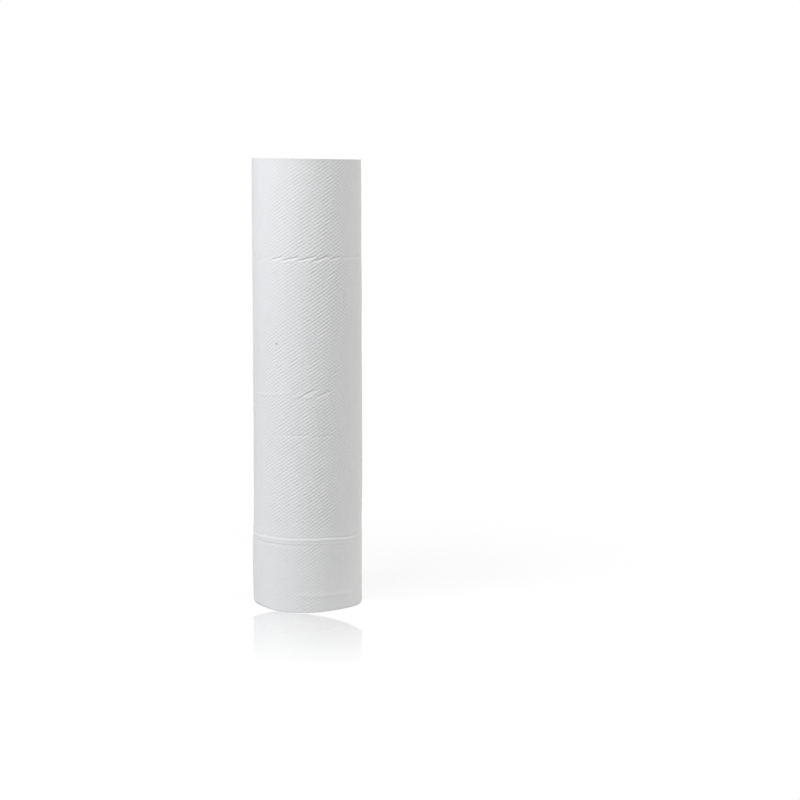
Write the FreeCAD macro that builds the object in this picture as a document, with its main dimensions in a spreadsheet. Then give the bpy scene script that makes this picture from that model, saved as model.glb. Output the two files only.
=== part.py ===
import FreeCAD, Part
import math
import os

import Sketcher

# Exam table paper roll: embossed tissue wound on a board tube, standing on one sawn end.
# +Z runs up the roll's axis from the middle of that end, and the paper's loose edge lies on the +Y side.
# Lengths are in millimetres, angles in degrees.
SIZES = {
    "roll_length": 500,       # from one sawn end to the other, for the paper and its tube alike
    "roll_diameter": 122.5,   # over the outermost turn, at the loose edge
    "core_bore": 42,          # inside diameter of the board tube
    "core_wall": 1.8,         # thickness of the board tube
    "wrap_clearance": 0.1,    # between the tube and the first turn, on the radius
    "tail_step": 0.4,         # thickness of the embossed sheet, seen where the last turn ends
    "turn_spacing": 3.75,     # from one drawn turn line to the next; each stands for many sheets
    "turn_line_width": 0.8,   # width of the gap that a turn line shows on a sawn end
    "turn_line_depth": 0.8,   # depth of that gap
    "turn_margin": 1.5,       # solid paper kept beside the tube and beside the outer wall
    "fold_height": 81.7,      # crest of the pressed fold above the foot
    "fold_rise": 0.6,         # how far the crest stands out of the wall
    "fold_upper": 3,          # height of the fold's flank above its crest
    "fold_lower": 2,          # height of the flank below it
    "pucker_drop": 107,       # middle of the pucker ring below the top end
    "pucker_length": 19,      # length of one pucker round the wall, which also sets its depth
    "pucker_width": 2.6,      # its mouth, up and down the wall
    "pucker_slant": 12,       # how it climbs to the right, seen from outside
    "pucker_spacing": 18,     # from one pucker to the next round the wall
}

doc = FreeCAD.newDocument("exam_table_paper_roll")
sheet = doc.addObject("Spreadsheet::Sheet", "Sizes")
for row, (alias, value) in enumerate(SIZES.items(), start=1):
    sheet.set(f"A{row}", alias)
    sheet.set(f"B{row}", str(value))
    sheet.setAlias(f"B{row}", alias)
doc.recompute()

CORE_RADIUS = "(Sizes.core_bore / 2 + Sizes.core_wall)"
PAPER_BORE_RADIUS = f"({CORE_RADIUS} + Sizes.wrap_clearance)"
ROLL_RADIUS = "(Sizes.roll_diameter / 2)"
# The numbers by which a sketch knows the points of an edge, its own axes and its origin.
START, END, CENTRE = range(1, 4)
X_AXIS, Y_AXIS = range(-1, -3, -1)
ORIGIN = (X_AXIS, START)


def size(alias):
    """A driving dimension, as a plain number."""
    return float(getattr(sheet, alias))


def datum(body, role):
    """One of the planes or axes of a body's own origin."""
    return next(feature for feature in body.Origin.OriginFeatures if feature.Role == role)


class Drawing:
    """A sketch on one of its body's own planes, whose constraints are added in one go when it is done."""

    def __init__(self, body, name, plane):
        self.sketch = body.newObject("Sketcher::SketchObject", name)
        self.sketch.AttachmentSupport = [(datum(body, plane), "")]
        self.sketch.MapMode = "FlatFace"
        self.sketch.Visibility = False
        self.rules = []

    def line(self, start, end):
        return self.sketch.addGeometry(Part.LineSegment(FreeCAD.Vector(*start, 0), FreeCAD.Vector(*end, 0)))

    def outline(self, corners):
        """Straight edges from each corner to the next, closed."""
        edges = [self.line(here, there) for here, there in zip(corners, corners[1:] + corners[:1])]
        for edge, following in zip(edges, edges[1:] + edges[:1]):
            self.rule("Coincident", edge, END, following, START)
        return edges

    def point(self, x, y):
        """A helper point, which isn't part of the outline."""
        return self.sketch.addGeometry(Part.Point(FreeCAD.Vector(x, y, 0)), True)

    def circle(self, radius):
        return self.sketch.addGeometry(Part.Circle(FreeCAD.Vector(), FreeCAD.Vector(0, 0, 1), radius))

    def half_circle(self, start_y, end_y):
        """A counterclockwise arc between two points of the Y axis, by the left side where it starts above."""
        middle = FreeCAD.Vector(0, (start_y + end_y) / 2, 0)
        whole = Part.Circle(middle, FreeCAD.Vector(0, 0, 1), abs(start_y - end_y) / 2)
        first = math.pi / 2 if start_y > end_y else -math.pi / 2
        return self.sketch.addGeometry(Part.ArcOfCircle(whole, first, first + math.pi))

    def rule(self, kind, *where, value=None, expression=None):
        """A constraint, bound to the sheet where it has a size."""
        number = [] if value is None else [value]
        self.rules.append((Sketcher.Constraint(kind, *where, *number), expression))

    def finish(self):
        self.sketch.addConstraint([constraint for constraint, expression in self.rules])
        for index, (constraint, expression) in enumerate(self.rules):
            if expression:
                self.sketch.setExpression(f"Constraints[{index}]", expression)
        doc.recompute()
        if not self.sketch.FullyConstrained:
            raise RuntimeError(f"sketch {self.sketch.Name} isn't fully constrained")
        return self.sketch


def new_body(label):
    body = doc.addObject("PartDesign::Body", label)
    body.Label = label
    body.Placement = FreeCAD.Placement()
    return body


def feature(body, kind, name, profile, **expressions):
    """A PartDesign feature made from a sketch, with its own sizes bound to the sheet."""
    made = body.newObject(f"PartDesign::{kind}", name)
    made.Profile = profile
    for key, expression in expressions.items():
        made.setExpression(key, expression)
    return made


def wound_section(body):
    """The roll seen along its axis: the outer turn, which grows by one sheet, and the hole for the tube."""
    drawing = Drawing(body, "wound_section", "XY_Plane")
    radius, step = size("roll_diameter") / 2, size("tail_step")
    under_tail = drawing.half_circle(radius - step, -radius)
    outer = drawing.half_circle(-radius, radius)
    tail = drawing.line((0, radius), (0, radius - step))
    bore_radius = size("core_bore") / 2 + size("core_wall") + size("wrap_clearance")
    bore = drawing.circle(bore_radius)

    drawing.rule("Coincident", outer, CENTRE, *ORIGIN)
    drawing.rule("Radius", outer, value=radius, expression=ROLL_RADIUS)
    drawing.rule("PointOnObject", outer, START, Y_AXIS)
    drawing.rule("PointOnObject", outer, END, Y_AXIS)
    drawing.rule("Coincident", under_tail, END, outer, START)
    drawing.rule("PointOnObject", under_tail, CENTRE, Y_AXIS)
    drawing.rule("Coincident", outer, END, tail, START)
    drawing.rule("Coincident", tail, END, under_tail, START)
    drawing.rule("Vertical", tail)
    drawing.rule("Distance", tail, value=step, expression="Sizes.tail_step")
    drawing.rule("Coincident", bore, CENTRE, *ORIGIN)
    drawing.rule("Radius", bore, value=bore_radius, expression=PAPER_BORE_RADIUS)
    return drawing.finish()


def spiral_wall(drawing, start_y, turns, centres, expression):
    """A spiral of half circles that starts on the +Y axis, grows evenly, and ends there after whole turns."""
    arcs = []
    here = start_y
    for half_turn in range(2 * turns):
        there = -math.copysign(abs(here) + size("turn_spacing") / 2, here)
        arcs.append(drawing.half_circle(here, there))
        here = there
    drawing.rule("PointOnObject", arcs[0], START, Y_AXIS)
    drawing.rule("DistanceY", *ORIGIN, arcs[0], START, value=start_y, expression=expression)
    for number, arc in enumerate(arcs):
        drawing.rule("Coincident", arc, CENTRE, centres[number % 2], START)
        drawing.rule("PointOnObject", arc, END, Y_AXIS)
    for arc, following in zip(arcs, arcs[1:]):
        drawing.rule("Coincident", arc, END, following, START)
    return arcs


def turn_line(body, name, at_foot):
    """The spiral gap between the paper's turns on one sawn end, from near the tube to near the loose edge."""
    drawing = Drawing(body, name, "XY_Plane")
    if not at_foot:
        drawing.sketch.setExpression("AttachmentOffset.Base.z", "Sizes.roll_length")
    spacing, width = size("turn_spacing"), size("turn_line_width")
    first = size("core_bore") / 2 + size("core_wall") + size("wrap_clearance") + size("turn_margin")
    last = size("roll_diameter") / 2 - size("tail_step") - size("turn_margin") - width
    turns = int((last - first) / spacing)

    centres = []
    for side in (-1, 1):
        centre = drawing.point(0, side * spacing / 4)
        drawing.rule("PointOnObject", centre, START, Y_AXIS)
        drawing.rule(
            "DistanceY", *ORIGIN, centre, START,
            value=side * spacing / 4, expression=f"{side} * Sizes.turn_spacing / 4",
        )
        centres.append(centre)
    start = f"{PAPER_BORE_RADIUS} + Sizes.turn_margin"
    inner = spiral_wall(drawing, first, turns, centres, start)
    outer = spiral_wall(drawing, first + width, turns, centres, f"{start} + Sizes.turn_line_width")
    for arc_in, arc_out, at, radius in (
        (inner[0], outer[0], START, first),
        (inner[-1], outer[-1], END, first + turns * spacing),
    ):
        cap = drawing.line((0, radius), (0, radius + width))
        drawing.rule("Coincident", cap, START, arc_in, at)
        drawing.rule("Coincident", cap, END, arc_out, at)

    gap = feature(body, "Pocket", f"{name}_gap", drawing.finish(), Length="Sizes.turn_line_depth")
    gap.Reversed = at_foot


def pressed_fold(body):
    """The ridge round the foot where the roll was squeezed, with a long flank above its crest."""
    drawing = Drawing(body, "fold_section", "XZ_Plane")
    radius, rise, crest = size("roll_diameter") / 2, size("fold_rise"), size("fold_height")
    # The flanks go on this far into the paper, so that the ridge also meets the wall below the loose edge.
    rooted = 2 * size("tail_step")
    share = (rise + rooted) / rise
    low, high = crest - size("fold_lower") * share, crest + size("fold_upper") * share
    edges = drawing.outline([(radius - rooted, low), (radius + rise, crest), (radius - rooted, high)])
    drawing.rule("Vertical", edges[2])
    drawing.rule(
        "DistanceX", *ORIGIN, edges[0], START,
        value=radius - rooted, expression=f"{ROLL_RADIUS} - 2 * Sizes.tail_step",
    )
    drawing.rule(
        "DistanceX", *ORIGIN, edges[0], END,
        value=radius + rise, expression=f"{ROLL_RADIUS} + Sizes.fold_rise",
    )
    drawing.rule("DistanceY", *ORIGIN, edges[0], END, value=crest, expression="Sizes.fold_height")
    rooted_share = "(Sizes.fold_rise + 2 * Sizes.tail_step) / Sizes.fold_rise"
    drawing.rule(
        "DistanceY", edges[0], START, edges[0], END,
        value=crest - low, expression=f"Sizes.fold_lower * {rooted_share}",
    )
    drawing.rule(
        "DistanceY", edges[1], START, edges[1], END,
        value=high - crest, expression=f"Sizes.fold_upper * {rooted_share}",
    )
    fold = feature(body, "Revolution", "pressed_fold", drawing.finish())
    fold.ReferenceAxis = (datum(body, "Z_Axis"), [""])
    fold.Angle = 360


def puckers(body):
    """Short slanted creases in a ring below the top end. Each is a straight notch in the round wall."""
    drawing = Drawing(body, "pucker_section", "YZ_Plane")
    sketch = drawing.sketch
    sketch.AttachmentOffset = FreeCAD.Placement(
        FreeCAD.Vector(), FreeCAD.Rotation(FreeCAD.Vector(1, 0, 0), -size("pucker_slant"))
    )
    sketch.setExpression("AttachmentOffset.Base.y", "Sizes.roll_length - Sizes.pucker_drop")
    sketch.setExpression("AttachmentOffset.Rotation.Angle", "-Sizes.pucker_slant")

    radius, width = size("roll_diameter") / 2, size("pucker_width")
    bottom = math.sqrt(radius**2 - (size("pucker_length") / 2) ** 2)
    bottom_expression = f"sqrt({ROLL_RADIUS}^2 - (Sizes.pucker_length / 2)^2)"
    # The notch opens from its bottom line through the wall to a mouth as far outside as the bottom is inside.
    outside = 2 * radius - bottom
    edges = drawing.outline([(-bottom, 0), (-outside, -width), (-outside, width)])
    drawing.rule("Vertical", edges[1])
    drawing.rule("DistanceX", edges[0], START, *ORIGIN, value=bottom, expression=bottom_expression)
    drawing.rule(
        "DistanceX", edges[0], END, *ORIGIN,
        value=outside, expression=f"2 * {ROLL_RADIUS} - {bottom_expression}",
    )
    drawing.rule("PointOnObject", edges[0], START, X_AXIS)
    drawing.rule("DistanceY", edges[1], START, *ORIGIN, value=width, expression="Sizes.pucker_width")
    drawing.rule("DistanceY", *ORIGIN, edges[1], END, value=width, expression="Sizes.pucker_width")

    # The tool is longer than a pucker, so that only the wall's roundness ends the notch.
    notch = feature(
        body, "Pocket", "pucker_notch", drawing.finish(), Length="Sizes.pucker_length + Sizes.pucker_width"
    )
    notch.SideType = "Symmetric"
    doc.recompute()
    ring = body.newObject("PartDesign::PolarPattern", "pucker_ring")
    ring.Originals = [notch]
    ring.Axis = (datum(body, "Z_Axis"), [""])
    ring.Angle = 360
    ring.Occurrences = int(math.pi * size("roll_diameter") / size("pucker_spacing"))
    body.Tip = ring


def paper_roll():
    """The wound paper: one solid from the tube to the outermost turn."""
    body = new_body("paper_roll")
    feature(body, "Pad", "wound", wound_section(body), Length="Sizes.roll_length")
    doc.recompute()
    pressed_fold(body)
    doc.recompute()
    puckers(body)
    doc.recompute()
    turn_line(body, "top_turns", at_foot=False)
    turn_line(body, "foot_turns", at_foot=True)
    doc.recompute()
    return body


def core_tube():
    """The board tube, sawn flush with the paper at both ends."""
    body = new_body("core_tube")
    drawing = Drawing(body, "tube_section", "XY_Plane")
    inside = size("core_bore") / 2
    for radius, expression in ((inside, "Sizes.core_bore / 2"), (inside + size("core_wall"), CORE_RADIUS)):
        circle = drawing.circle(radius)
        drawing.rule("Coincident", circle, CENTRE, *ORIGIN)
        drawing.rule("Radius", circle, value=radius, expression=expression)
    feature(body, "Pad", "tube", drawing.finish(), Length="Sizes.roll_length")
    doc.recompute()
    return body


parts = [paper_roll(), core_tube()]

for thing in doc.Objects:
    if "Invalid" in thing.State or "Error" in thing.State:
        raise RuntimeError(f"{thing.Name} failed to build: {thing.State}")
os.makedirs("parts", exist_ok=True)
for part in parts:
    if part.Shape.isNull() or not part.Shape.isValid() or len(part.Shape.Solids) != 1:
        raise RuntimeError(f"{part.Label} isn't one valid solid")
    part.Shape.exportStep(os.path.join("parts", f"{part.Label}.step"))
    print(f"{part.Label}: {part.Shape.Volume / 1000:.1f} cm3")
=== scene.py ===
"""Looks for the exam table paper roll.

It has the embossed outer turn, the wound ends, the board tube, the floor, the lamps and the camera.
Shapes are worked out in millimetres, in the frame of the CAD model, and scaled to metres as each mesh is
made. Angles round the wall are measured from the front (-Y) towards +X, so the paper's loose edge is at
180 degrees.
"""

import math

import bpy
import numpy as np
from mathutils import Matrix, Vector

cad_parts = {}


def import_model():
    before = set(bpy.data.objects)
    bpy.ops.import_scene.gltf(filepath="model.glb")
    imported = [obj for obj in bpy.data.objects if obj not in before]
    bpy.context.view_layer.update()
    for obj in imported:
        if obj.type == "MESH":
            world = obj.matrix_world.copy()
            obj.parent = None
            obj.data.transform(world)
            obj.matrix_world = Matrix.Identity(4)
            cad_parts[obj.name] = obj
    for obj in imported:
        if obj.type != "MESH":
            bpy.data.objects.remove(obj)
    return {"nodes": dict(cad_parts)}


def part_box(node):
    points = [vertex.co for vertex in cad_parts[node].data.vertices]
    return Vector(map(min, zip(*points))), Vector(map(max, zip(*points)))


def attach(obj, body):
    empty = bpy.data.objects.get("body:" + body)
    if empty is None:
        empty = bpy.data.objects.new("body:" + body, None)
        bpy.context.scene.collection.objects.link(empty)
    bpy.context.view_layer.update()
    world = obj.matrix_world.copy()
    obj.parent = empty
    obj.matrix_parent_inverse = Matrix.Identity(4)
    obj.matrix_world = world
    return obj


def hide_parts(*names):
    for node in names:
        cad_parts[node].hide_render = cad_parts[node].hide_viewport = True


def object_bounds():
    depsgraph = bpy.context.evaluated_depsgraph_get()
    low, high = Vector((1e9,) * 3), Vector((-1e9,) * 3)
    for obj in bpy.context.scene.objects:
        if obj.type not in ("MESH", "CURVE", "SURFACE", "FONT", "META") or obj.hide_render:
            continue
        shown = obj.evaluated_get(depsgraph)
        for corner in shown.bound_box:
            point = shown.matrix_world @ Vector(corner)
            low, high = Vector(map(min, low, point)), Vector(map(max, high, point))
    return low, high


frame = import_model()
cad_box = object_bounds()

MM = 0.001
SEED = 19
END_MARGIN = 0.01         # millimetres below a CAD node's top that still count as its end

# ---------------------------------------------------------------- sizes read from the CAD model


def corners_of(node):
    """The points of a CAD node, in millimetres."""
    return np.array([v.co for v in frame["nodes"][node].data.vertices]) / MM


def end_radii(node):
    """The smallest and largest radius of a CAD node on its top end."""
    places = corners_of(node)
    end = places[places[:, 2] > places[:, 2].max() - END_MARGIN]
    radii = np.hypot(end[:, 0], end[:, 1])
    return radii.min(), radii.max()


LENGTH = (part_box("paper_roll")[1].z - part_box("paper_roll")[0].z) / MM
BORE, WALL = end_radii("paper_roll")
TUBE_INSIDE, TUBE_OUTSIDE = end_radii("core_tube")

# ---------------------------------------------------------------- sizes of what is added, in millimetres

CELLS_ROUND = 63          # embossing cells round the wall, each with two dots
CELLS_HIGH = 122
CELL_COLUMNS = 3          # mesh squares across one cell, and the squares up it
CELL_ROWS = 4
EMBOSS_DEPTH = 0.34       # from the top of a dot to the bottom of the dip beside it
OUTER_TURN = 1.3          # thickness of the outermost turns, which are one piece
TURN_GAP = 0.15           # between that piece and the turns inside it
TAIL_STEP = 0.4           # that the paper's loose edge makes at the back
TAIL_LIFT_START = 166.0   # angles from which the loose edge lifts and waves
TAIL_WAVE_START = 172.0
FOLD_HEIGHT = 81.7        # crest of the pressed fold
TOP_SLANT = 0.85          # how far the sawn top drops from its middle to its right side
TURN_PITCH = 0.65         # of the turns shaped on the sawn ends
SHEETS_A_TURN = 3         # lines coloured on the sawn ends for each shaped turn
END_COLUMNS = 360
CURVE_SAMPLES = 9         # averaged where a curve is softened
WELD_STEPS = 1e4          # in a millimetre: points closer than one are joined

# Height and value pairs, from the foot up: how far the wall stands out, and how far it leans towards +X.
WALL_CURVE = ((0, 0.6), (45, 0.7), (78, 0.55), (88, 0.15), (130, 0.2), (170, 0.05), (230, 0.0),
              (300, -0.2), (390, -0.2), (430, -0.4), (500, -0.55))
LEAN_CURVE = ((0, -1.5), (50, -1.5), (85, -1.0), (130, -0.4), (190, -0.1), (280, 0.0), (500, 0.0))

# How deep the dots are: for each height, the shares of the full depth at these angles. The first and the
# last share hold for the back. Most of the shares weren't chosen by hand: a program worked them out by
# measuring the dots in the photograph and in a render, and they were rounded and scaled. The outermost
# were given one by one.
EMBOSS_ANGLES = (-95, -66, -52, -36, -24, -12, -1, 9, 20, 32, 45, 57, 70, 100)
EMBOSS_SHARES = {
    38: (0.65, 0.11, 0.14, 0.35, 0.32, 0.53, 0.84, 0.66, 0.38, 0.22, 0.15, 0.19, 0.28, 0.65),
    65: (0.70, 0.05, 0.05, 0.39, 0.52, 0.44, 0.93, 0.87, 0.65, 0.45, 0.04, 0.03, 0.14, 0.70),
    130: (0.90, 0.48, 0.59, 1.08, 1.02, 0.84, 1.01, 1.18, 1.13, 0.61, 0.73, 0.49, 0.48, 0.90),
    200: (0.95, 0.82, 0.99, 0.95, 0.92, 0.85, 0.94, 1.07, 0.85, 0.67, 0.74, 0.31, 0.34, 0.95),
    280: (1.00, 0.54, 0.58, 1.05, 0.92, 0.96, 0.97, 0.83, 0.83, 0.81, 0.27, 0.07, 0.18, 1.00),
    345: (0.95, 0.29, 0.34, 0.67, 0.84, 0.86, 0.73, 1.00, 1.12, 1.03, 0.81, 1.08, 1.00, 0.95),
    410: (1.00, 0.61, 0.73, 0.68, 0.72, 0.75, 0.94, 1.06, 1.20, 0.90, 0.49, 0.73, 0.70, 1.00),
    455: (0.85, 0.37, 0.48, 0.87, 0.80, 0.81, 0.86, 0.90, 0.86, 0.96, 0.44, 0.23, 0.32, 0.85),
    486: (0.75, 0.05, 0.05, 0.64, 0.41, 0.46, 0.56, 0.74, 0.92, 0.98, 0.83, 0.48, 0.41, 0.75),
}

# Angle and value pairs: the share of the rows that rise to the right, and how far the foot stands up. The
# first of these curves is mostly from that program too, and the second was given one by one.
RISING_ROUND = ((-95, 0.57), (-66, 0.33), (-52, 0.35), (-36, 0.46), (-24, 0.53), (-12, 0.55), (-1, 0.54),
                (9, 0.58), (20, 0.57), (45, 0.56), (70, 0.57))
FOOT_LIFT = ((-180, 0.4), (-130, 1.1), (-85, 2.4), (-56, 2.7), (-45, 1.9), (-36, 1.3), (-27, 0.0),
             (-12, 0.0), (-3, 0.55), (12, 0.65), (24, 1.45), (44, 1.65), (58, 1.0), (66, 0.6), (76, 0.0),
             (130, 0.0), (180, 0.4))
ROUND_SOFTEN = 4.0        # degrees over which the dots' curves round the roll are softened
LIFT_SOFTEN = 6.0
RISING_LIMITS = (0.1, 0.95)
LIFT_HEIGHT = 26.0        # above the foot, where its lift has gone from the wall
LIFT_DEPTH = 14.0         # how far in from the outer turn the foot is lifted with it
WEAR_ANGLE = -100.0       # where the foot's edge is worn most

# The pressed fold at its full strength. Heights count from its crest.
FOLD_STEP = 0.32          # how much further the wall stands out below the crest
FOLD_STEP_SPAN = (-26.0, -1.0, -0.1, 2.7)  # where the step rises and where it falls
FOLD_RIDGE = 0.22
FOLD_RIDGE_WIDTH = 1.2
GROOVE_PLACE = 2.9
GROOVE_WIDTH = 0.8

# How flat the dots are pressed: at the fold, at the sawn top, and for each millimetre of a crease.
FLAT_AT_FOLD = 0.75
FLAT_FOLD_PLACE = 0.5     # above the fold
FLAT_FOLD_WIDTH = 3.2
FLAT_AT_TOP = 0.6
FLAT_TOP_REACH = 1.5
FLAT_BY_CREASE = 0.6
FLATTEST = 0.85

# How strongly waves change the wall, the dots' depth and the rising rows. Small ones span a few cells.
RIPPLE = 0.10
DEPTH_PATCH = 0.12
SMALL_DEPTH_PATCH = 0.28
ROW_PATCH = 0.10
SMALL_ROW_PATCH = 0.14

# Creases of the outer turn: angle and height of both ends, depth and half width. Below 0 they stand out.
# Above the fold, most ends were read off the photograph and turned into angles and heights by a
# small program, and some of them were then moved. The rest was given one by one.
CREASES = [
    # The ring below the top.
    ((-61.6, 388.0), (-33.6, 394.7), 0.07, 1.4),
    ((-37.4, 389.8), (-21.5, 394.6), 0.44, 0.9),
    ((-25.0, 389.5), (-3.5, 394.6), 0.52, 0.95),
    ((-7.6, 389.6), (12.9, 395.3), 0.58, 0.95),
    ((7.5, 388.8), (28.0, 395.9), 0.62, 0.95),
    ((26.5, 391.4), (41.0, 394.9), 0.50, 0.85),
    ((43.0, 393.1), (55.0, 394.3), 0.28, 0.85),
    ((-21.0, 386.4), (-12.0, 387.4), 0.14, 0.8),
    # The ring halfway up, which is a soft wave on the left.
    ((-70.0, 240.4), (-36.0, 242.4), -0.10, 1.5),
    ((-38.0, 242.2), (-13.4, 246.1), -0.12, 1.4),
    ((-12.9, 239.6), (-0.4, 245.7), -0.26, 1.0),
    ((-2.0, 243.0), (13.4, 250.5), 0.42, 1.2),
    ((-0.5, 240.2), (9.3, 242.2), -0.24, 1.0),
    ((10.8, 240.6), (28.0, 248.3), 0.42, 1.0),
    # The line below it.
    ((-53.4, 196.9), (-13.8, 199.0), 0.07, 1.1),
    ((-15.9, 198.2), (5.9, 199.7), 0.17, 1.0),
    ((7.0, 196.9), (29.5, 198.6), 0.17, 1.0),
    # Beside the fold, and the band at the foot.
    ((-66.0, 76.6), (2.0, 75.9), 0.13, 0.9),
    ((-62.0, 78.9), (-2.0, 78.4), -0.10, 0.9),
    ((-4.0, 78.3), (30.0, 77.5), -0.10, 0.9),
    ((28.0, 77.6), (60.0, 75.2), -0.14, 0.9),
    ((-8.0, 20.0), (58.0, 17.8), -0.15, 2.6),
]

CREASE_FADE = 0.25        # share of its length over which a crease fades at each end
CREASE_FADE_MOST = 6.0
CREASE_START = -0.3       # where it begins, as a share of that fade: a little beyond its end

# The ring below the top goes on between these angles, on both sides and the back.
BACK_CREASES = (60.0, 292.0)
BACK_CREASE_HEIGHT = 391.5
BACK_CREASE_RISE = 0.22 * 1.07  # for each degree: its slope, times the millimetres in a degree
BACK_CREASE_WIDTH = 1.25

# The board tube's seam and rims. Angles are degrees from the middle of the seam.
SEAM_PITCH = 105.0        # height that the spiral seam climbs in one turn
SEAM_DEPTH = 0.35
SEAM_EDGE = 0.5
SEAM_LIP = 0.8
SEAM_SIDE = 1.6
LIP_HEIGHT = 0.06
TUBE_ROWS = 160
EVEN_COLUMNS = (5, 355, 92)  # first and last angle of the other columns, and how many there are

# The layers on the tube's rims: share of the board's thickness, and how deep the rim lies there.
RIM_LAYERS = ((0.02, 0.10), (0.30, 0.0), (0.42, 0.12), (0.55, 0.0), (0.68, 0.10), (0.80, 0.0),
              (0.98, 0.12))

# The sawn ends: how far the sheets lie below the end plane, and how much that changes from turn to turn
# and from group to group.
RELIEF = 0.16
TURN_RELIEF = 0.07
GROUP_RELIEF = 0.09
GROUP_TURNS = 4.3
GROOVE = 0.22             # between two turns, and what it grows by beside a loose one
LOOSE_GROOVE = 0.5
LOOSE_SHARE = 0.16        # of all turns

# ---------------------------------------------------------------- helpers


def smooth_step(value, start, end):
    """0 up to the start, 1 from the end on, and a soft rise between them."""
    share = np.clip((value - start) / (end - start), 0, 1)
    return share * share * (3 - 2 * share)


def plateau(value, rise_start, rise_end, fall_start, fall_end):
    """1 between the rise and the fall, and 0 before and after them."""
    return smooth_step(value, rise_start, rise_end) * (1 - smooth_step(value, fall_start, fall_end))


def bell(distance, width):
    """1 in the middle, and falling off softly over the width."""
    return np.exp(-((distance / width) ** 2))


def curve(place, pairs, soften=12.0):
    """A soft curve through pairs of place and value. The place is a height or an angle in degrees."""
    places, values = zip(*pairs)
    steps = np.linspace(-soften, soften, CURVE_SAMPLES)
    return np.mean([np.interp(place + step, places, values) for step in steps], axis=0)


def wave_sum(first, second, waves):
    """Sines in two directions added up. Each wave is its two wave numbers, its phase and its share."""
    return sum(share * np.sin(a * first + b * second + phase) for a, b, phase, share in waves)


def random_waves(rng, count, first_range, second_range):
    """Waves with whole wave numbers in the first direction, so that they close round the roll."""
    waves = []
    for _ in range(count):
        a = rng.integers(*first_range)
        b = rng.uniform(*second_range) * rng.choice((-1, 1))
        waves.append((a, b, rng.uniform(0, 2 * math.pi), 1 / math.sqrt(count)))
    return waves


def value_noise(position, values):
    """Smooth noise along a line, one value for each whole step."""
    whole = np.floor(position).astype(int)
    share = smooth_step(position - whole, 0, 1)
    here, after = values[whole % len(values)], values[(whole + 1) % len(values)]
    return here * (1 - share) + after * share


def cylinder_places(radius, angle, height, shift=0.0):
    """Points round the roll's axis, which may be shifted towards +X."""
    return np.stack([radius * np.sin(angle) + shift, -radius * np.cos(angle), height], axis=-1)


def weld(places, triangles):
    """Joins points that coincide, and drops the triangles that this closes up."""
    keys = np.round(places * WELD_STEPS).astype(np.int64)
    _, first, index = np.unique(keys, axis=0, return_index=True, return_inverse=True)
    joined = index.reshape(-1)[triangles]
    a, b, c = joined.T
    return places[first], joined[(a != b) & (b != c) & (c != a)]


def grid_triangles(index):
    """Two triangles for each square of a grid of point numbers."""
    a, b, c, d = index[:-1, :-1], index[:-1, 1:], index[1:, 1:], index[1:, :-1]
    first, second = np.stack([a, b, c], -1), np.stack([a, c, d], -1)
    return np.concatenate([first.reshape(-1, 3), second.reshape(-1, 3)])


def make_piece(name, places, faces, material, slot, node, sharp_deg):
    """A mesh piece from points in millimetres, which stands for a CAD node."""
    x, y, z = np.asarray(places).T
    slanted = np.stack([x, y, z - TOP_SLANT * (z / LENGTH) * (x / WALL)], axis=-1)
    mesh = bpy.data.meshes.new(name)
    mesh.from_pydata((slanted * MM).tolist(), [], [list(face) for face in faces])
    mesh.polygons.foreach_set("use_smooth", np.ones(len(mesh.polygons), bool))
    mesh.set_sharp_from_angle(angle=math.radians(sharp_deg))
    mesh.materials.append(material)
    mesh.validate()
    piece = bpy.data.objects.new(name, mesh)
    bpy.context.scene.collection.objects.link(piece)
    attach(piece, "root")
    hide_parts(node)
    return piece


def set_directions(mesh, directions, smooth_faces):
    """Gives the corners of the first faces the directions of their points. The other faces stay flat."""
    corners = np.empty(len(mesh.loops), np.int32)
    mesh.loops.foreach_get("vertex_index", corners)
    sizes = np.empty(len(mesh.polygons), np.int32)
    mesh.polygons.foreach_get("loop_total", sizes)
    flat = np.empty(3 * len(mesh.polygons), np.float32)
    mesh.polygons.foreach_get("normal", flat)
    faced = np.repeat(flat.reshape(-1, 3), sizes, axis=0)
    smooth_corners = sizes[:smooth_faces].sum()
    faced[:smooth_corners] = directions[corners[:smooth_corners]]
    mesh.normals_split_custom_set(faced)


# ---------------------------------------------------------------- materials


class Nodes:
    """The node tree of a world or a material, with one short call for each node."""

    def __init__(self, owner):
        owner.use_nodes = True
        self.tree = owner.node_tree

    def add(self, kind, **settings):
        node = self.tree.nodes.new(f"ShaderNode{kind}")
        for key, value in settings.items():
            setattr(node, key, value)
        return node

    def link(self, value, socket):
        """Links another node's socket to this one, or sets it to a number or a colour."""
        if isinstance(value, tuple):
            socket.default_value = (*value, 1)
        elif isinstance(value, (int, float)):
            socket.default_value = value
        else:
            self.tree.links.new(value, socket)

    def fill(self, node, values):
        """Gives a node's first inputs these values, and returns its first output."""
        for socket, value in zip(node.inputs, values):
            self.link(value, socket)
        return node.outputs[0]

    def math(self, operation, *values):
        return self.fill(self.add("Math", operation=operation), values)

    def shader(self, kind, **values):
        node = self.add(kind)
        for key, value in values.items():
            self.link(value, node.inputs[key])
        return node.outputs[0]

    def mix_shaders(self, factor, first, second):
        return self.fill(self.add("MixShader"), (factor, first, second))

    def seen(self):
        """1 for what the camera sees, also in a mirror or through glass. 0 for the object's light."""
        rays = self.add("LightPath").outputs
        beyond = self.math("MAXIMUM", rays["Is Glossy Ray"], rays["Is Transmission Ray"])
        return self.math("MAXIMUM", rays["Is Camera Ray"], beyond)


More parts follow.
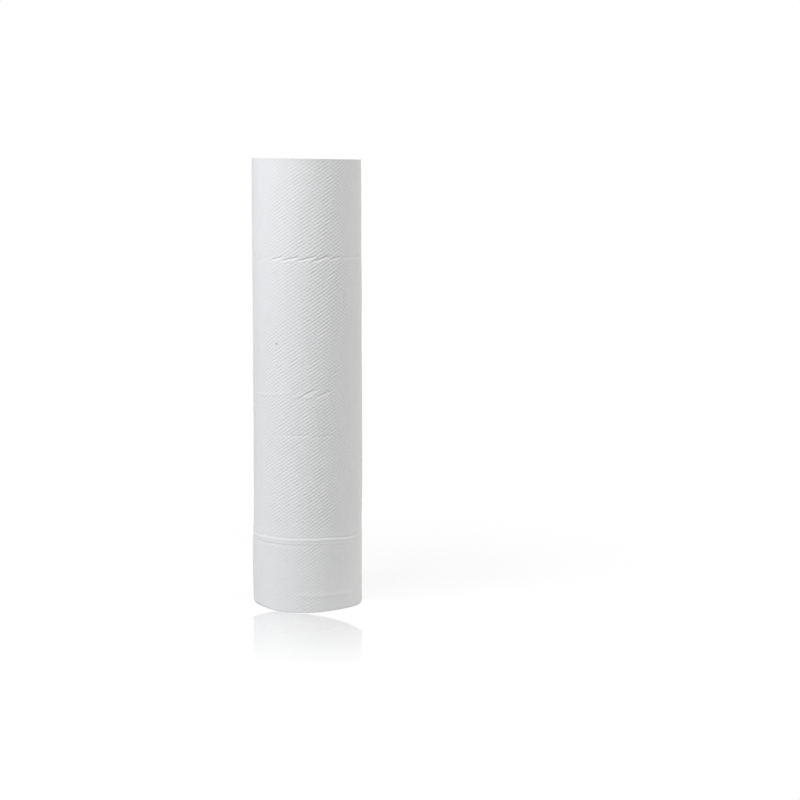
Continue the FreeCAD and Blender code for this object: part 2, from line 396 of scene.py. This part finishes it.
class Material(Nodes):
    """A new material, with the coordinates that its patterns are laid on."""

    def __init__(self, name):
        self.material = bpy.data.materials.new(name)
        super().__init__(self.material)
        self.surface = self.tree.nodes["Principled BSDF"]
        self.coordinates = self.add("TexCoord").outputs["Object"]
        split = self.add("SeparateXYZ")
        self.link(self.coordinates, split.inputs["Vector"])
        self.x, self.y, self.z = split.outputs

    def set(self, **values):
        """Sets or links inputs of the surface shader. Their names are written with underscores."""
        for key, value in values.items():
            self.link(value, self.surface.inputs[key.replace("_", " ")])

    def angle(self):
        return self.math("ARCTAN2", self.x, self.math("MULTIPLY", self.y, -1.0))

    def around(self):
        """The way round the wall, in metres."""
        return self.math("MULTIPLY", self.angle(), WALL * MM)

    def radius(self):
        square = self.math("MULTIPLY", self.x, self.x)
        return self.math("SQRT", self.math("MULTIPLY_ADD", self.y, self.y, square))

    def vector(self, x, y, z):
        return self.fill(self.add("CombineXYZ"), (x, y, z))

    def noise(self, vector, scale, detail, roughness):
        node = self.add("TexNoise")
        self.link(vector, node.inputs["Vector"])
        self.link(scale, node.inputs["Scale"])
        self.link(detail, node.inputs["Detail"])
        self.link(roughness, node.inputs["Roughness"])
        return node.outputs["Fac"]

    def spread(self, value, low, high, to_low, to_high):
        """The value's range mapped to another one."""
        return self.fill(self.add("MapRange"), (value, low, high, to_low, to_high))

    def weigh(self, first, share, second):
        """The first value by its share, and the second one by the rest."""
        return self.math("ADD", self.math("MULTIPLY", first, share),
                         self.math("MULTIPLY", second, 1 - share))

    def blend(self, factor, first, second):
        """Two colours mixed. Each is a colour or a socket."""
        node = self.add("Mix", data_type="RGBA")
        self.link(factor, node.inputs["Factor"])
        self.link(first, node.inputs[6])
        self.link(second, node.inputs[7])
        return node.outputs[2]

    def bump(self, height, depth, normal=None):
        node = self.add("Bump")
        self.link(depth * MM, node.inputs["Distance"])
        self.link(height, node.inputs["Height"])
        if normal is not None:
            self.link(normal, node.inputs["Normal"])
        return node.outputs["Normal"]


NOISE_RANGE = (0.3, 0.7)  # that most of a noise's values lie in

TISSUE_DARK = (0.765, 0.768, 0.762)
TISSUE_LIGHT = (0.80, 0.80, 0.795)
# The outer turn's top rim takes the sawn ends' darker colour: the cut paper's grey, and partly painted
# shade that keeps the rim, which faces up into the light, from showing as a bright ring.
RIM_TISSUE_AND_SHADE = (0.66, 0.66, 0.645)
RIM_SHADE_BAND = (0.15, 0.05)   # below the top, between which the wall takes the rim's colour
FLECK = (0.16, 0.15, 0.14)
FLECK_ANGLE = -30.6
FLECK_HEIGHT = 299.4
FLECK_REACH = (0.55, 1.4)  # strongest up to the first distance, gone at the second
FLECK_SHARE = 0.75
CREPE_SQUEEZE = 7.0       # how much finer the crepe is round the web than up it


def tissue():
    """Soft white crepe tissue: fibres, crepe lines up the web, faint mottling and one dark fleck.
    Its top rim is darker, partly painted shade.
    """
    n = Material("embossed_tissue_paper")
    around = n.around()
    squeezed = n.math("MULTIPLY", around, CREPE_SQUEEZE)
    fibres = n.noise(n.vector(around, n.z, 0.0), scale=1400, detail=3.0, roughness=0.6)
    crepe = n.noise(n.vector(squeezed, n.z, 0.0), scale=320, detail=2.0, roughness=0.55)
    mottle = n.noise(n.coordinates, scale=95, detail=3.0, roughness=0.6)
    clouds = n.noise(n.coordinates, scale=14, detail=2.0, roughness=0.5)

    tone = n.spread(n.weigh(mottle, 0.6, clouds), *NOISE_RANGE, 0, 1)
    colour = n.blend(tone, TISSUE_DARK, TISSUE_LIGHT)
    fleck_place = cylinder_places(WALL, math.radians(FLECK_ANGLE), FLECK_HEIGHT) * MM
    distance = n.add("VectorMath", operation="DISTANCE")
    n.link(n.coordinates, distance.inputs[0])
    distance.inputs[1].default_value = tuple(fleck_place)
    full, gone = FLECK_REACH
    fleck = n.spread(distance.outputs["Value"], full * MM, gone * MM, FLECK_SHARE, 0.0)
    colour = n.blend(fleck, colour, FLECK)
    # Partly painted shade: the top rim and a thin band just below it take the darker rim colour.
    level = n.math("MULTIPLY_ADD", n.x, TOP_SLANT / WALL, n.z)
    start, end = RIM_SHADE_BAND
    rim = n.spread(level, (LENGTH - start) * MM, (LENGTH - end) * MM, 0.0, 1.0)
    n.set(Base_Color=n.blend(rim, colour, RIM_TISSUE_AND_SHADE))
    n.set(Roughness=n.spread(mottle, *NOISE_RANGE, 0.86, 0.98))

    n.set(Normal=n.bump(fibres, depth=0.015, normal=n.bump(crepe, depth=0.03)))
    n.set(Specular_IOR_Level=0.25, Sheen_Weight=0.08, Sheen_Roughness=0.6)
    return n.material


# Colours of the sawn ends: the cut paper's own grey, and partly painted shade between the sheets and
# turns, so they are darker than the wall. The lines at the sheets' edges are partly painted shade in the
# gaps.
SAWN_DARK_AND_SHADE = (0.60, 0.60, 0.585)
SAWN_LIGHT_AND_SHADE = (0.69, 0.69, 0.675)
SAWN_LINE_AND_SHADE = (0.46, 0.46, 0.445)
LINE_BELOW = 0.35         # the sheets' wave goes from 0 to 1, and lies below this in a line
LINE_SHARE = 0.25
STRIP_DRIFT = 0.6         # noise steps for each radian, where each sheet is one step


def sawn_tissue_and_shade():
    """The sawn ends: the sheets' edges as fine lines along the turns, with cut fibres between them.
    Their darker colours and lines are partly painted shade between the sheets and turns.
    """
    n = Material("sawn_tissue_edges_and_shade")
    angle = n.angle()
    turn = n.math("DIVIDE", n.math("MULTIPLY", angle, TURN_PITCH * MM), 2 * math.pi)
    place = n.math("DIVIDE", n.math("SUBTRACT", n.radius(), turn), TURN_PITCH * MM / SHEETS_A_TURN)
    sheets = n.math("MULTIPLY_ADD", n.math("SINE", n.math("MULTIPLY", place, 2 * math.pi)), 0.5, 0.5)
    strip_place = n.vector(place, n.math("MULTIPLY", angle, STRIP_DRIFT), 0.0)
    strips = n.noise(strip_place, scale=0.9, detail=2.0, roughness=0.6)
    fibres = n.noise(n.coordinates, scale=1800, detail=3.0, roughness=0.6)
    patches = n.noise(n.coordinates, scale=60, detail=2.0, roughness=0.5)

    tone = n.spread(n.weigh(strips, 0.7, patches), *NOISE_RANGE, 0, 1)
    # Partly painted shade: the darker sawn colours and the darker lines between the sheets.
    colour = n.blend(tone, SAWN_DARK_AND_SHADE, SAWN_LIGHT_AND_SHADE)
    lines = n.spread(sheets, 0.0, LINE_BELOW, LINE_SHARE, 0.0)
    n.set(Base_Color=n.blend(lines, colour, SAWN_LINE_AND_SHADE))
    n.set(Roughness=n.spread(fibres, *NOISE_RANGE, 0.88, 1.0), Specular_IOR_Level=0.2)
    soft = n.bump(n.math("ADD", sheets, strips), depth=0.05)
    n.set(Normal=n.bump(fibres, depth=0.08, normal=soft))
    return n.material


BOARD_DARK = (0.235, 0.205, 0.200)
BOARD_LIGHT = (0.340, 0.310, 0.305)
BOARD_CLOUD = (0.31, 0.27, 0.275)
BOARD_FLECK = (0.50, 0.47, 0.45)
STRIP_SLOPE = 0.45        # of the board strip that the tube is wound from
GRAIN_STRETCH = 0.25      # along the strip, against across it


def board():
    """Grey-mauve recycled board: long fibres along the strip, clouds, lighter flecks, a dull surface."""
    n = Material("core_board")
    slant = n.math("ADD", n.around(), n.math("MULTIPLY", n.z, STRIP_SLOPE))
    strip = n.vector(n.math("MULTIPLY", slant, GRAIN_STRETCH), n.z, n.radius())
    grain = n.noise(strip, scale=900, detail=4.0, roughness=0.65)
    flecks = n.noise(n.coordinates, scale=700, detail=2.0, roughness=0.7)
    clouds = n.noise(n.coordinates, scale=45, detail=3.0, roughness=0.6)
    colour = n.blend(n.spread(grain, *NOISE_RANGE, 0, 1), BOARD_DARK, BOARD_LIGHT)
    colour = n.blend(n.spread(clouds, 0.35, 0.65, 0, 0.5), colour, BOARD_CLOUD)
    colour = n.blend(n.spread(flecks, 0.66, 0.72, 0, 0.6), colour, BOARD_FLECK)
    n.set(Base_Color=colour, Roughness=n.spread(grain, *NOISE_RANGE, 0.80, 0.94))
    n.set(Normal=n.bump(grain, depth=0.06), Specular_IOR_Level=0.3)
    return n.material


# ---------------------------------------------------------------- the embossed outer turn


rng = np.random.default_rng(SEED)
RIPPLES = random_waves(rng, 12, (3, 16), (0.012, 0.07))
DEPTH_PATCHES = random_waves(rng, 10, (3, 14), (0.01, 0.06))
ROW_PATCHES = random_waves(rng, 10, (4, 20), (0.02, 0.10))
small_rng = np.random.default_rng(SEED + 1)
SMALL_DEPTH_PATCHES = random_waves(small_rng, 16, (16, 40), (0.15, 0.5))
SMALL_ROW_PATCHES = random_waves(small_rng, 16, (14, 36), (0.12, 0.45))


def crease(angle, height, start, end, depth, width):
    """How far one crease pushes the wall in. It fades at both ends."""
    (a0, h0), (a1, h1) = start, end
    arc = WALL * (angle - math.radians(a0))
    run, rise = WALL * math.radians(a1 - a0), h1 - h0
    length = math.hypot(run, rise)
    along = (arc * run + (height - h0) * rise) / length
    across = ((height - h0) * run - arc * rise) / length
    fade = min(CREASE_FADE * length, CREASE_FADE_MOST)
    begun = smooth_step(along, CREASE_START * fade, fade)
    not_over = smooth_step(length - along, CREASE_START * fade, fade)
    return depth * (begun * not_over) * bell(across, width)


def back_creases():
    """The ring of slanted creases goes on round the sides and the back, less regular than a pattern."""
    made = []
    angle, last = BACK_CREASES
    while angle < last:
        span = rng.uniform(9, 17)
        low = BACK_CREASE_HEIGHT + rng.uniform(-1.5, 1.0)
        high = low + BACK_CREASE_RISE * span
        start = angle if angle <= 180 else angle - 360
        made.append(((start, low), (start + span, high), rng.uniform(0.2, 0.5), BACK_CREASE_WIDTH))
        angle += rng.uniform(14, 20)
    return made


CREASES += back_creases()


def fold_crest(angle):
    """Height of the pressed fold's crest. It hangs a little lower on both sides of the front."""
    degrees = np.degrees(angle)
    right_sag = 2.2 * plateau(degrees, 18, 62, 80, 130)
    left_sag = 1.0 * plateau(-degrees, 38, 66, 80, 130)
    wave = 0.2 * np.sin(5 * angle)
    return FOLD_HEIGHT - right_sag - left_sag + wave


def fold_strength(angle):
    """How strong the fold is: most at the front, less on the left, and half near the right outline."""
    degrees = np.degrees(angle)
    strength = 0.38 + 0.14 * np.cos(angle) + 0.05 * np.sin(angle) - 0.045 * smooth_step(-degrees, 15, 50)
    return strength * (1 - 0.5 * plateau(degrees, 50, 66, 80, 110))


def fold(angle, height):
    """The step and ridge where the roll was squeezed, with a shallow groove above them."""
    above = height - fold_crest(angle)
    step = FOLD_STEP * plateau(above, *FOLD_STEP_SPAN)
    ridge = FOLD_RIDGE * bell(above, FOLD_RIDGE_WIDTH)
    groove_depth = 0.31 + 0.14 * np.sin(angle)
    groove = groove_depth * bell(above - GROOVE_PLACE, GROOVE_WIDTH)
    return fold_strength(angle) * (step + ridge - groove)


def tail_lift(angle, height):
    """How far the loose edge stands off the turn below it. It is uneven up the roll."""
    uneven = 0.25 + 0.2 * np.sin(height / 41) + 0.12 * np.sin(height / 13 + 1)
    return smooth_step(np.degrees(angle), TAIL_LIFT_START, 180) * uneven


def wall(angle, height):
    """Radius of the outer turn without its dots, and how flat the dots are pressed there."""
    tail = -TAIL_STEP / 2 * (1 - np.cos(angle)) * (angle < 0)
    radius = WALL + tail + curve(height, WALL_CURVE)
    radius += RIPPLE * wave_sum(angle, height, RIPPLES)
    pressed = np.zeros_like(radius)
    for start, end, depth, width in CREASES:
        push = crease(angle, height, start, end, depth, width)
        radius -= push
        pressed += np.abs(push)
    flat = FLAT_AT_FOLD * bell(height - FOLD_HEIGHT - FLAT_FOLD_PLACE, FLAT_FOLD_WIDTH)
    flat += FLAT_AT_TOP * np.exp((height - LENGTH) / FLAT_TOP_REACH)
    radius = radius + fold(angle, height) + tail_lift(angle, height)
    return radius, np.clip(flat + FLAT_BY_CREASE * pressed, 0, FLATTEST)


def emboss_share(angle, height):
    """How deep the dots are there, as a share of their full depth."""
    heights = list(EMBOSS_SHARES)
    levels = [curve(np.degrees(angle), tuple(zip(EMBOSS_ANGLES, shares)), ROUND_SOFTEN)
              for shares in EMBOSS_SHARES.values()]
    total = levels[0]
    for low, high, level, next_level in zip(heights, heights[1:], levels, levels[1:]):
        total = total + (next_level - level) * smooth_step(height, low, high)
    return total * (1 + DEPTH_PATCH * wave_sum(angle, height, DEPTH_PATCHES))


def embossing(angle, height):
    """The embossed dots, from about 0 on a dot to -1 in a dip: two sets of diagonal rows that cross."""
    around = CELLS_ROUND * angle / (2 * math.pi)
    up = CELLS_HIGH * height / LENGTH
    uneven = ROW_PATCH * wave_sum(angle, height, ROW_PATCHES)
    uneven += SMALL_ROW_PATCH * wave_sum(angle, height, SMALL_ROW_PATCHES)
    share = np.clip(curve(np.degrees(angle), RISING_ROUND, ROUND_SOFTEN) + uneven, *RISING_LIMITS)
    rising = np.cos(2 * math.pi * (around - up))
    falling = np.cos(2 * math.pi * (around + up))
    dots = (share * rising + (1 - share) * falling - 1) / 2
    return dots + SMALL_DEPTH_PATCH * wave_sum(angle, height, SMALL_DEPTH_PATCHES) * (dots + 0.5)


def foot_lift(angle):
    """How far the foot's edge stands off the floor there, because the turns are not quite even."""
    return curve(np.degrees(angle), FOOT_LIFT, LIFT_SOFTEN)


def foot_wear(angle, height):
    """How far the worn edge at the foot draws in: most on the left, and again on the right."""
    sides = np.cos(2 * (angle - math.radians(WEAR_ANGLE)))
    worn_height = 2.0 + 1.0 * sides - 0.5 * np.sin(angle)
    reach = 0.4 + 0.3 * sides - 0.25 * np.sin(angle)
    return reach * np.clip(1 - height / worn_height, 0, 1) ** 2


def wall_places(angle, height):
    """Points on the outside of the outer turn."""
    radius, pressed = wall(angle, height)
    depth = EMBOSS_DEPTH * emboss_share(angle, height)
    radius += depth * (1 - pressed) * embossing(angle, height) - foot_wear(angle, height)
    lifted = height + foot_lift(angle) * (1 - smooth_step(height, 0, LIFT_HEIGHT))
    edge_wave = np.radians(0.25 * np.sin(height / 37) + 0.12 * np.sin(height / 11 + 2))
    angle = angle + edge_wave * smooth_step(np.degrees(angle), TAIL_WAVE_START, 180)
    return cylinder_places(radius, angle, lifted, curve(height, LEAN_CURVE))


def wall_directions(angle, height):
    """Which way the wall faces, from how its points move with a small step round and up."""
    step = 0.03
    turn = step / WALL
    around = wall_places(angle + turn, height) - wall_places(angle - turn, height)
    up = wall_places(angle, height + step) - wall_places(angle, height - step)
    faced = np.cross(around, up)
    return faced / np.linalg.norm(faced, axis=-1, keepdims=True)


def outer_turn():
    """The outermost turns as one closed shape: outside, loose edge, inside and both rims."""
    columns, rows = CELLS_ROUND * CELL_COLUMNS, CELLS_HIGH * CELL_ROWS
    round_angles = np.linspace(-math.pi, math.pi, columns + 1)
    angles, heights = np.meshgrid(round_angles, np.linspace(0, LENGTH, rows + 1))
    outside = np.arange(angles.size).reshape(angles.shape)
    outside_faces = grid_triangles(outside)

    inner_radius = np.full(columns, WALL - OUTER_TURN)
    places = [wall_places(angles, heights).reshape(-1, 3)]
    for height, lift in ((0.0, foot_lift(round_angles[:-1])), (LENGTH, np.zeros(columns))):
        shift = curve(np.full(columns, height), LEAN_CURVE)
        places.append(cylinder_places(inner_radius, round_angles[:-1], height + lift, shift))
    foot_ring = angles.size + np.arange(columns)
    foot_ring = np.append(foot_ring, foot_ring[0])
    top_ring = foot_ring + columns

    faces = outside_faces.tolist()
    for column in range(columns):
        after = column + 1
        foot_rim = [outside[0, after], outside[0, column], foot_ring[column], foot_ring[after]]
        top_rim = [outside[-1, column], outside[-1, after], top_ring[after], top_ring[column]]
        if after == columns:
            foot_rim.insert(0, outside[0, 0])
            top_rim.insert(2, outside[-1, 0])
        inside = [foot_ring[column], top_ring[column], top_ring[after], foot_ring[after]]
        faces += [foot_rim, top_rim, inside]
    for low, high in zip(outside[:-1], outside[1:]):
        faces.append([low[-1], low[0], high[0], high[-1]])
    piece = make_piece("outer_turn", np.concatenate(places), faces, tissue(),
                       "embossed_tissue", "paper_roll", sharp_deg=50)
    set_directions(piece.data, wall_directions(angles, heights).reshape(-1, 3), len(outside_faces))


# ---------------------------------------------------------------- the wound turns and their sawn ends


TURN_VALUES = rng.uniform(-1, 1, 97)
GROUP_VALUES = rng.uniform(-1, 1, 41)
LOOSE_TURNS = rng.random(97) < LOOSE_SHARE


def end_relief(turns, angle, radius, groove):
    """How far below the end plane the sheets lie there. The turns are counted along the spiral."""
    single = TURN_RELIEF * value_noise(turns, TURN_VALUES)
    grouped = GROUP_RELIEF * value_noise(turns / GROUP_TURNS, GROUP_VALUES)
    warp = 0.05 * np.sin(2 * angle + radius / 9) + 0.03 * np.sin(5 * angle - radius / 4)
    loose = value_noise(turns, LOOSE_TURNS.astype(float))
    return np.maximum(RELIEF + single + grouped + warp, 0.0) + groove * (GROOVE + LOOSE_GROOVE * loose)


def end_wobble(angle, radius):
    """How far the sheets' edges stray from an even spiral."""
    return 0.10 * np.sin(3 * angle + radius / 7) + 0.06 * np.sin(7 * angle - radius / 3)


def turned_back(angle):
    """Angles from 0 to a full turn, as angles from -180 to 180 degrees."""
    return (angle + math.pi) % (2 * math.pi) - math.pi


def sawn_end(height, sign, first, last, centre_shift):
    """Rings of points from the bore to the outer turn: a spiral with one ridge and one groove a turn."""
    turns = int((last - first) / TURN_PITCH) + 1
    margin = 2 * TURN_PITCH
    angle = 2 * math.pi * np.arange(END_COLUMNS + 1) / END_COLUMNS
    rings = []
    for half in range(-2, 2 * turns + 3):
        counted = half / 2 + angle / (2 * math.pi)
        radius = np.clip(first + TURN_PITCH * counted, first, last)
        inside = smooth_step(radius, first, first + margin) * smooth_step(last - radius, 0, margin)
        relief = inside * end_relief(counted, angle, radius, half % 2)
        wobble = inside * end_wobble(angle, radius)
        shift = centre_shift * smooth_step(radius, first, last)
        lift = (sign < 0) * foot_lift(turned_back(angle)) * smooth_step(radius, last - LIFT_DEPTH, last)
        rings.append(cylinder_places(radius + wobble, angle, height - sign * relief + lift, shift))
    return rings


def wound_turns():
    """One closed shape: the top end, the outer wall, the foot end and the bore."""
    first, last = BORE, WALL - OUTER_TURN - TURN_GAP
    top_shift, foot_shift = (float(curve(height, LEAN_CURVE)) for height in (LENGTH, 0.0))
    top = sawn_end(LENGTH, 1, first, last, top_shift)
    foot = sawn_end(0.0, -1, first, last, foot_shift)
    rings = np.stack(top + foot[::-1] + top[:1])
    index = np.arange(rings.shape[0] * rings.shape[1]).reshape(rings.shape[:2])
    return weld(rings.reshape(-1, 3), grid_triangles(index)[:, ::-1])


# ---------------------------------------------------------------- the board tube


def tube_columns():
    """Angles of the tube's columns, with close ones beside the seam."""
    beside = [-SEAM_SIDE, -SEAM_LIP, -SEAM_EDGE, SEAM_EDGE, SEAM_LIP, SEAM_SIDE]
    return np.radians(np.concatenate([beside, np.linspace(*EVEN_COLUMNS)]))


def board_tube():
    """The tube, whose columns follow the seam of its spiral strip."""
    columns = tube_columns()
    seam = np.isclose(np.abs(columns), math.radians(SEAM_EDGE))
    lip = np.isclose(np.abs(columns), math.radians(SEAM_LIP))
    heights = np.linspace(0.0, LENGTH, TUBE_ROWS + 1)
    thick = TUBE_OUTSIDE - TUBE_INSIDE

    def ring(radius, height):
        angle = columns + 2 * math.pi * height / SEAM_PITCH
        return cylinder_places(radius + np.zeros_like(columns), angle, np.full(len(columns), height))

    inside = TUBE_INSIDE + SEAM_DEPTH * seam + LIP_HEIGHT * lip
    rings = [ring(inside, height) for height in heights[::-1]]
    rings += [ring(TUBE_INSIDE + share * thick, drop) for share, drop in RIM_LAYERS]
    rings += [ring(TUBE_OUTSIDE, height) for height in heights]
    rings += [ring(TUBE_INSIDE + share * thick, LENGTH - drop) for share, drop in RIM_LAYERS[::-1]]
    rings = np.stack(rings + rings[:1])
    rings = np.concatenate([rings, rings[:, :1]], axis=1)
    index = np.arange(rings.shape[0] * rings.shape[1]).reshape(rings.shape[:2])
    return weld(rings.reshape(-1, 3), grid_triangles(index))


outer_turn()
make_piece("wound_turns", *wound_turns(), sawn_tissue_and_shade(), "embossed_tissue", "paper_roll", sharp_deg=60)
make_piece("board_tube", *board_tube(), board(), "core_board", "core_tube", sharp_deg=40)

# ---------------------------------------------------------------- floor, world, lamps and camera

# From here on sizes are in metres.

FLOOR_RADIUS = 8.0
FLOOR_DROP = 0.0002       # below the roll's foot

# The mirror image starts a little in front of the foot, and the floor between is plain white. This is
# where it starts, as y from x: the coefficients of the fourth power down to the plain number. A program
# worked them out by fitting a curve to the gap in the photograph.
GAP_EDGE = (-1803.0, 34.5, -4.88, -0.55, -0.0605)
GAP_FADE = (-0.006, 0.002)

# Distances from the roll's axis between which one look of the floor turns into another.
AT_FOOT = (0.0622, 0.0645)      # from plain white to the mirror, beside the foot
GAP_END = (0.16, 0.20)          # where the plain white ends at the latest
BEHIND_AXIS = (0.0, 0.02)       # and distances behind the axis, where it ends too
MIRROR_FADE = (0.065, 0.29)
SHADOW_FADE = (0.15, 0.60)
UNDER_ROLL = (0.0570, 0.0590)   # from clear to the grey that throws light back on the object
BOUNCE_FADE = (0.15, 0.45)

MIRROR_SHARE = 0.58
MIRROR_ROUGHNESS = 0.06
MIRROR_FACING = (0.25, 0.65)    # the mirror fades where the floor is looked down on
SHADOW_SHARE = 0.26
FLOOR_GREY = (0.8, 0.8, 0.8)
BOUNCE = (0.37, 0.22)           # how light that grey is, near and far

WORLD_COLOUR = (1.0, 1.0, 0.99)
WORLD_STRENGTH = 0.612

LAMP_SIZE = 1.3
LAMP_TARGET = (0, 0, 0.3)
# Name, place, watts and colour.
LAMPS = (
    ("key", (-0.78, -1.03, 2.085), 44.6, (0.955, 0.96, 1.0)),
    ("window", (-2.55, 0.22, 0.75), 5.5, (0.66, 0.78, 1.0)),
    ("fill", (2.12, 0.71, 0.87), 19.9, (1.0, 1.0, 0.985)),
)

CAMERA_PLACE = (0.1038, -2.087, 0.5)
CAMERA_DOWN = 7.35              # degrees
CAMERA_LENS = 84.15             # millimetres, on a sensor 36 wide


def floor_material():
    """White floor that keeps the object's shadow and mirrors its foot. Further out it is plain white."""
    n = Material("studio_floor")
    n.tree.nodes.remove(n.surface)
    radius = n.radius()

    gap_edge = GAP_EDGE[0]
    for coefficient in GAP_EDGE[1:]:
        gap_edge = n.math("MULTIPLY_ADD", gap_edge, n.x, coefficient)
    past_gap = n.spread(n.math("SUBTRACT", n.y, gap_edge), *GAP_FADE, 1.0, 0.0)
    past_gap = n.math("MINIMUM", past_gap, n.spread(radius, *AT_FOOT, 0.0, 1.0))
    away = n.spread(radius, *GAP_END, 0.0, 1.0)
    behind = n.spread(n.y, *BEHIND_AXIS, 0.0, 1.0)
    dark = n.math("MAXIMUM", past_gap, n.math("MAXIMUM", away, behind))

    white = n.shader("Emission")
    matte = n.shader("BsdfDiffuse", Color=FLOOR_GREY)
    mirror = n.shader("BsdfGlossy", Color=(1, 1, 1), Roughness=MIRROR_ROUGHNESS)
    shadow = n.math("MULTIPLY", dark, n.spread(radius, *SHADOW_FADE, SHADOW_SHARE, 0.0))
    shine = n.math("MULTIPLY", dark, n.spread(radius, *MIRROR_FADE, MIRROR_SHARE, 0.0))
    facing = n.add("LayerWeight").outputs["Facing"]
    shine = n.math("MULTIPLY", shine, n.spread(facing, *MIRROR_FACING, 0.0, 1.0))
    shown = n.mix_shaders(shine, n.mix_shaders(shadow, white, matte), mirror)

    clear = n.shader("BsdfTransparent")
    bounce = n.shader("BsdfDiffuse", Color=n.spread(radius, *BOUNCE_FADE, *BOUNCE))
    unseen = n.mix_shaders(n.spread(radius, *UNDER_ROLL, 1.0, 0.0), bounce, clear)
    surface = n.mix_shaders(n.seen(), unseen, shown)
    back = n.add("NewGeometry").outputs["Backfacing"]
    output = n.tree.nodes["Material Output"]
    n.link(n.mix_shaders(back, surface, clear), output.inputs["Surface"])
    return n.material


def floor():
    """A wide disc under the roll, which is no part of the object."""
    place = (0, 0, cad_box[0].z - FLOOR_DROP)
    bpy.ops.mesh.primitive_circle_add(vertices=96, radius=FLOOR_RADIUS, fill_type="NGON", location=place)
    disc = bpy.context.object
    disc.name = "studio_floor"
    disc.data.materials.append(floor_material())


def world():
    """White where the camera sees it, and an even grey light for the object."""
    made = bpy.data.worlds.new("studio")
    bpy.context.scene.world = made
    n = Nodes(made)
    n.tree.nodes.remove(n.tree.nodes["Background"])
    even = n.shader("Background", Color=WORLD_COLOUR, Strength=WORLD_STRENGTH)
    white = n.shader("Background", Color=(1, 1, 1))
    output = n.tree.nodes["World Output"]
    n.link(n.mix_shaders(n.seen(), even, white), output.inputs["Surface"])


def softbox(name, place, power, colour):
    """A square lamp that faces the roll and isn't seen itself."""
    lamp = bpy.data.lights.new(name, "AREA")
    lamp.shape = "RECTANGLE"
    lamp.size = LAMP_SIZE
    lamp.size_y = LAMP_SIZE
    lamp.energy = power
    lamp.color = colour
    holder = bpy.data.objects.new(name, lamp)
    bpy.context.scene.collection.objects.link(holder)
    holder.location = place
    direction = Vector(np.subtract(LAMP_TARGET, place))
    holder.rotation_euler = direction.to_track_quat("-Z", "Y").to_euler()
    holder.visible_camera = False
    holder.visible_glossy = False


def camera():
    """Eye level with the roll's top, looking down a little, a long lens."""
    view = bpy.data.cameras.new("camera")
    view.sensor_width = 36.0
    view.lens = CAMERA_LENS
    holder = bpy.data.objects.new("camera", view)
    bpy.context.scene.collection.objects.link(holder)
    holder.location = CAMERA_PLACE
    holder.rotation_euler = (math.radians(90 - CAMERA_DOWN), 0, 0)
    bpy.context.scene.camera = holder


floor()
world()
for lamp_settings in LAMPS:
    softbox(*lamp_settings)
camera()
bpy.context.scene.view_settings.view_transform = "Standard"
